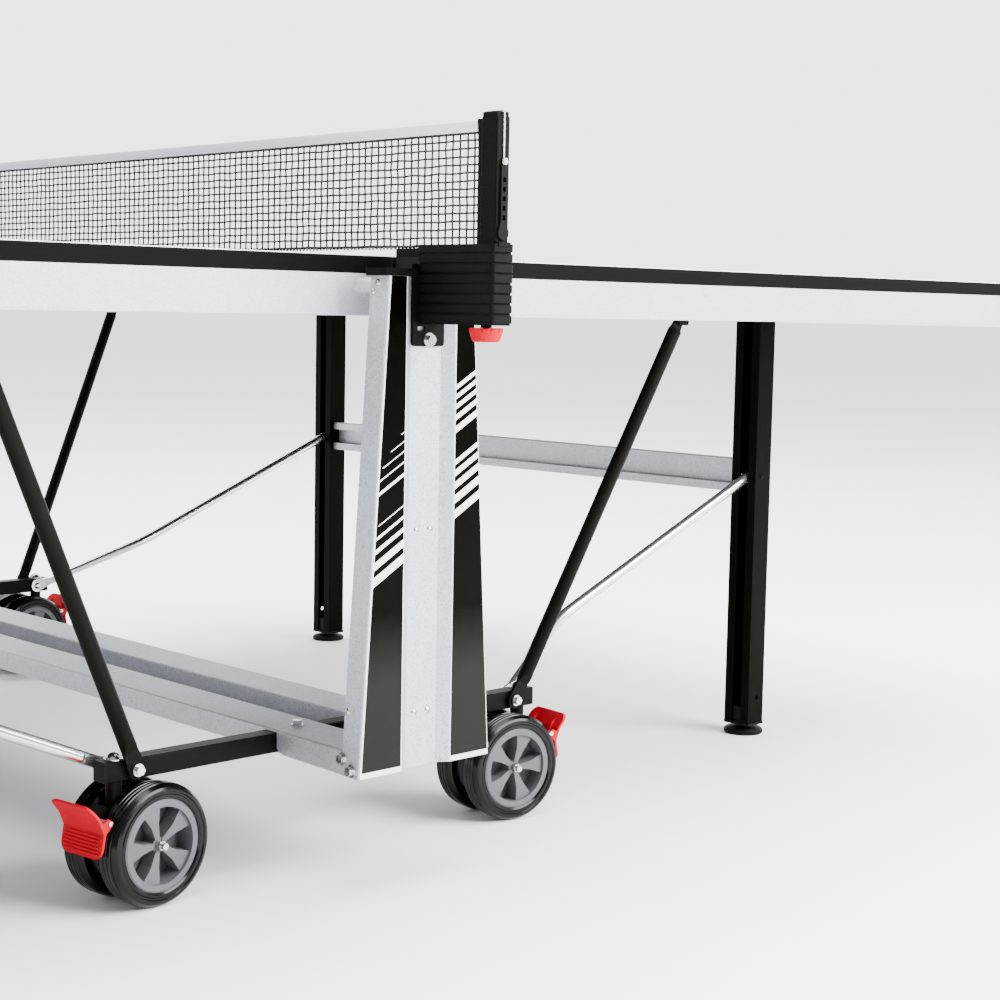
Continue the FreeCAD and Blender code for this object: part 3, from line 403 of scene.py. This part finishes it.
def make_net(material):
    """Mesh of fine thread between two thicker cords, with a fringe of small loops below."""
    across = net_high.y - net_low.y
    foot = net_low.z + FRINGE
    count_y, count_z = round(across / MESH_STEP_Y), round((net_high.z - foot) / MESH_STEP_Z)
    step_y, step_z = across / count_y, (net_high.z - foot) / count_z
    grid = []
    for j in range(count_z + 1):
        row = []
        for i in range(count_y + 1):
            y, z = net_low.y + i * step_y, foot + j * step_z - THREAD_R * (j == count_z)
            inner = 0 < i < count_y
            free = inner and j < count_z
            row.append(Vector((net_lean(y, z), y + knot_shift(y, z, 0.0) * inner,
                               z + knot_shift(y, z, 5.0) * KNOT_DROP * free)))
        grid.append(row)
    bm = bmesh.new()
    for j, row in enumerate(grid):
        add_tube(bm, row, THREAD_R * (EDGE_CORD if j in (0, count_z) else 1.0), THREAD_SIDES)
    loops = round(across / FRINGE_STEP)
    fringe = []
    for i in range(loops + 1):
        y = net_low.y + across * i / loops
        uneven = FRINGE_UNEVEN * abs(noise.noise(Vector((i * 0.37, 0.5, 0.1))))
        fringe.append(Vector((net_lean(y, foot), y, foot if i % 2 else net_low.z + FRINGE_LIFT + uneven)))
    add_tube(bm, fringe, THREAD_R * FRINGE_CORD, FRINGE_SIDES)
    for i in range(count_y + 1):
        add_tube(bm, [row[i] for row in grid], THREAD_R, THREAD_SIDES)
    net = new_mesh("net_threads", bm, material, "chassis")
    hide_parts("net_mesh")
    # an open mesh covers part of its rectangle: the flat area is that of its threads, laid straight
    fringe_drop = FRINGE - FRINGE_LIFT - FRINGE_UNEVEN / 2
    runs = (count_z - 1 + 2 * EDGE_CORD) * across + (count_y + 1) * (net_high.z - foot)
    runs += FRINGE_CORD * loops * math.hypot(across / loops, fringe_drop)


TAPE_BEND = 1.2 * MM                   # how far below the top the fold starts
TAPE_HEM, TAPE_PINCH = 4 * MM, 0.92    # the seam's height, and how much it draws the tape in
TAPE_RIPPLE, TAPE_PUCKER = 0.5 * MM, 0.15          # its sway, and how its thickness varies
TAPE_STEPS, FOLD_STEPS = 260, 6


def make_tape(material):
    """White tape folded over the net's top edge, drawn in along its seam."""
    low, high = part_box("net_tape")
    bm = bmesh.new()
    half, shoulder, hem = (high.x - low.x) / 2, high.z - TAPE_BEND, low.z + TAPE_HEM
    profile = [(-half, low.z), (-half * TAPE_PINCH, hem), (-half, shoulder)]
    for k in range(1, FOLD_STEPS):
        a = math.pi * k / FOLD_STEPS
        profile.append((-half * math.cos(a), shoulder + TAPE_BEND * math.sin(a)))
    profile += [(half, shoulder), (half * TAPE_PINCH, hem), (half, low.z)]
    rings = []
    for i in range(TAPE_STEPS + 1):
        y = low.y + (high.y - low.y) * i / TAPE_STEPS
        ripple = noise.noise(Vector((y * 14.0, 3.3, 0.0))) * TAPE_RIPPLE
        ring = []
        for x, z in profile:
            pucker = 1 + TAPE_PUCKER * noise.noise(Vector((y * 60, z * 200, 2)))
            ring.append(bm.verts.new((x * pucker + ripple, y, z)))
        rings.append(ring)
    for a, b in zip(rings, rings[1:]):
        for k in range(len(profile) - 1):
            bm.faces.new((a[k], a[k + 1], b[k + 1], b[k]))
    tape = new_mesh("net_tape_cloth", bm, material, "chassis", smooth=True)
    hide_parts("net_tape")


# ---- decals on the uprights ------------------------------------------------------------
FILM = 0.2 * MM                        # thickness of a printed film
UP_FRONT_Y, UP_FOOT_HALF = upright_high.y, upright_high.x
UP_BOTTOM_Z, UP_TOP_Z = upright_low.z, upright_high.z
UP_SLOPE = 0.064                       # what an upright's half width loses per unit of height
FLAT_IN = 39 * MM                      # where the flange is flat beside the recess
BORDER_OUT, PANEL_IN = 1.8 * MM, 1.1 * MM
LEFT_PANEL_OUT, RIGHT_PANEL_OUT = 4.2 * MM, 2.7 * MM
BORDER_FOOT, PANEL_FOOT = UP_BOTTOM_Z + 0.5 * MM, UP_BOTTOM_Z + 7 * MM
FILM_TOP = UP_TOP_Z - 0.3 * MM
STRIPE_LEAN = math.tan(math.radians(30))
REFLECTION_FADE_LOW, REFLECTION_FADE_HIGH = 0.265, 0.345     # heights between which the painted floor reflection on the dark film fades out
# height of the topmost stripe, then in mm the stripes' thickness and the first and last dark gap
# between them, and how much of the panel's width each stripe crosses
LEFT_GROUPS = ((0.5545, (0.9, 1.0, 1.2, 1.6, 3.8), 9.8, 12.0, (0.15, 0.58, 0.9, 1, 1)),
               (0.4680, (1.1, 3.4, 5.2, 9.0, 10.9), 11.5, 8.0, (0.93, 1, 1, 1, 1)))
RIGHT_GROUPS = ((0.6070, (5.4, 5.4, 5.6, 6.5, 8.0), 6.0, 7.3, (1, 1, 1, 1, 1)),
                (0.5171, (6.1, 7.5, 8.4, 9.8, 10.1), 6.4, 8.3, (1, 1, 1, 1, 1)))


def flange_strip(z0, z1, inset_in, inset_out, lean=0.0, reach=1.0):
    """Corners of a strip from a flange's recess edge to its outer edge, leaning by lean."""
    start = FLAT_IN + inset_in
    corners = []
    for z in (z0, z1):
        run = UP_FOOT_HALF - UP_SLOPE * (z - UP_BOTTOM_Z) - inset_out - start
        run *= reach / (1 + UP_SLOPE * lean)
        corners.append([(start, z), (start + run, z + lean * run)])
    (a, b), (d, c) = corners
    return [a, b, c, d]


def add_film(bm, points, side, row, layer):
    """A film on the front of an upright's flange; layer counts what lies under it."""
    y = row * (UP_FRONT_Y + layer * FILM)
    add_plate(bm, [(side * x, y, z) for x, z in points], (0, row, 0), FILM)


def add_stripes(bm, groups, lean, side, row, panel_out):
    for top, widths, first_gap, last_gap, reaches in groups:
        z = top
        for i, (width, reach) in enumerate(zip(widths, reaches)):
            points = flange_strip(z - width * MM, z, PANEL_IN, panel_out, lean, reach)
            add_film(bm, points, side, row, 2)
            z -= (width + first_gap + (last_gap - first_gap) * i / (len(widths) - 2)) * MM


def make_decals(white, dark):
    """Glossy dark panels with a white border and two groups of slanting stripes."""
    for row_name, row in ROWS.items():
        for side_name, side in SIDES.items():
            tag = row_name + "_" + side_name
            seen_left = side * row > 0
            panel_out = LEFT_PANEL_OUT if seen_left else RIGHT_PANEL_OUT
            groups = LEFT_GROUPS if seen_left else RIGHT_GROUPS
            lean = -STRIPE_LEAN if seen_left else STRIPE_LEAN
            bm = bmesh.new()
            add_film(bm, flange_strip(BORDER_FOOT, FILM_TOP, 0, BORDER_OUT), side, row, 0)
            new_mesh("decal_border_" + tag, bm, white, "chassis")
            bm = bmesh.new()
            add_film(bm, flange_strip(PANEL_FOOT, FILM_TOP, PANEL_IN, panel_out), side, row, 1)
            new_mesh("decal_panel_" + tag, bm, dark, "chassis")
            bm = bmesh.new()
            add_stripes(bm, groups, lean, side, row, panel_out)
            new_mesh("decal_stripes_" + tag, bm, white, "chassis")


# ---- floor and light --------------------------------------------------------------------
FLOOR_REACH = 150.0
BACKDROP_YAW = math.radians(44)        # the bright wall behind the table, from +Y towards +X
BACKDROP_SPREAD = 0.6                  # the room brightens between minus this and this cosine to it
ROOM_DIM, ROOM_BRIGHT = 0.65, 3.4


def make_floor():
    bm = bmesh.new()
    bmesh.ops.create_grid(bm, x_segments=1, y_segments=1, size=FLOOR_REACH)
    data = bpy.data.meshes.new("floor")
    bm.to_mesh(data)
    bm.free()
    floor = bpy.data.objects.new("floor", data)
    bpy.context.scene.collection.objects.link(floor)
    s = Shade("pale_floor")
    s.colour(s.ramp(s.noise(1.5, 2.0), [(0.3, 0.93), (0.7, 0.95)]))
    s.set(Roughness=0.7)
    data.materials.append(s.mat)


def area_light(name, at, towards, size, power):
    data = bpy.data.lights.new(name, "AREA")
    data.shape = "RECTANGLE"
    data.size, data.size_y = size
    data.energy = power
    light = bpy.data.objects.new(name, data)
    bpy.context.scene.collection.objects.link(light)
    light.location = at
    light.rotation_euler = (Vector(towards) - Vector(at)).to_track_quat("-Z", "Y").to_euler()


def make_light():
    """A bright backdrop on one side, a large soft key and an overhead panel."""
    world = bpy.data.worlds.new("studio")
    bpy.context.scene.world = world
    world.use_nodes = True
    tree = world.node_tree
    towards = tree.nodes.new("ShaderNodeVectorMath")
    towards.operation = "DOT_PRODUCT"
    towards.inputs[1].default_value = (math.sin(BACKDROP_YAW), math.cos(BACKDROP_YAW), 0)
    glow = tree.nodes.new("ShaderNodeMapRange")
    glow.interpolation_type = "SMOOTHSTEP"
    for name, value in (("From Min", -BACKDROP_SPREAD), ("From Max", BACKDROP_SPREAD),
                        ("To Min", ROOM_DIM), ("To Max", ROOM_BRIGHT)):
        glow.inputs[name].default_value = value
    coords = tree.nodes.new("ShaderNodeTexCoord")
    tree.links.new(coords.outputs["Generated"], towards.inputs[0])
    tree.links.new(towards.outputs["Value"], glow.inputs["Value"])
    background = tree.nodes["Background"]
    background.inputs["Color"].default_value = (1.0, 1.0, 1.0, 1)
    tree.links.new(glow.outputs["Result"], background.inputs["Strength"])
    area_light("key", at=(2.2, -4.8, 3.0), towards=(0, 0, 0.4), size=(3.6, 2.6), power=1000)
    area_light("top", at=(0.5, 0.5, 6.5), towards=(0.5, 0.5, 0), size=(6.0, 6.0), power=1600)


# ---- build -----------------------------------------------------------------------------------
make_camera()
make_floor()
make_light()

steel = galvanised()
zinc = bright_zinc()
black = black_paint("black_powder_coat")
silver = silver_apron()
plastic = moulded("black_moulding", (0.0024, 0.0025, 0.0025), (0.0038, 0.0039, 0.0040), (0.34, 0.5),
                  shine=0.05)
red = moulded("red_moulding", (0.38, 0.0001, 0.0090), (0.45, 0.0002, 0.0120), (0.4, 0.52),
              grain_scale=900.0, bump=0.3, shine=0.03)
grey = moulded("grey_hub", (0.070, 0.072, 0.080), (0.085, 0.087, 0.096), (0.38, 0.52), shine=0.3)
nylon = moulded("natural_nylon", (0.62, 0.61, 0.56), (0.72, 0.71, 0.66), (0.35, 0.5))
rubber = tyre_rubber()
soft_rubber = moulded("soft_black_rubber", (0.0028, 0.0028, 0.0028), (0.0042, 0.0042, 0.0042), (0.5, 0.65),
                      shine=0.06)
board = playing_board()
thread = cloth("net_thread", (0.0025, 0.0025, 0.0025), (0.005, 0.005, 0.005), 1500.0)
tape_cloth = cloth("white_tape", (0.84, 0.84, 0.88), (0.90, 0.90, 0.94), 1100.0)
cord_cloth = cloth("white_cord", (0.62, 0.62, 0.60), (0.78, 0.78, 0.76), 1300.0)
film_white = white_print()
film_dark = dark_print()

paint(matching("upright_far", "upright_near", "chassis_beam", "leg_crossbar"), steel)
paint(matching("link_rods"), bright_zinc("bright_rod", 0.84, (0.20, 0.24), 0.01))
paint(matching("frame_fasteners", "caster_axle"), zinc)
paint(matching("cross_tube", "braces", "bearers", "net_post", "clamp_brackets"), black)
# the legs carry the same black powder coat, darkened and dulled as painted shade
paint(matching("legs"), black_paint("black_powder_coat_shaded", 0.45))
paint(matching("side_rails", "end_rails"), silver)
paint(matching("upright_caps", "tube_end_caps", "net_clamp", "leg_caps", "caster_fork"), plastic)
paint(matching("clamp_knob", "brake_pedal"), red)
paint(matching("caster_hubs"), grey)
paint(matching("guide_shoes"), nylon)
paint(matching("caster_tyres"), rubber)
paint(matching("tension_straps", "foot_"), soft_rubber)
paint(matching("tabletop"), board)
paint(matching("tension_cords"), cord_cloth)

make_tape(tape_cloth)
make_net(thread)
make_decals(film_white, film_dark)
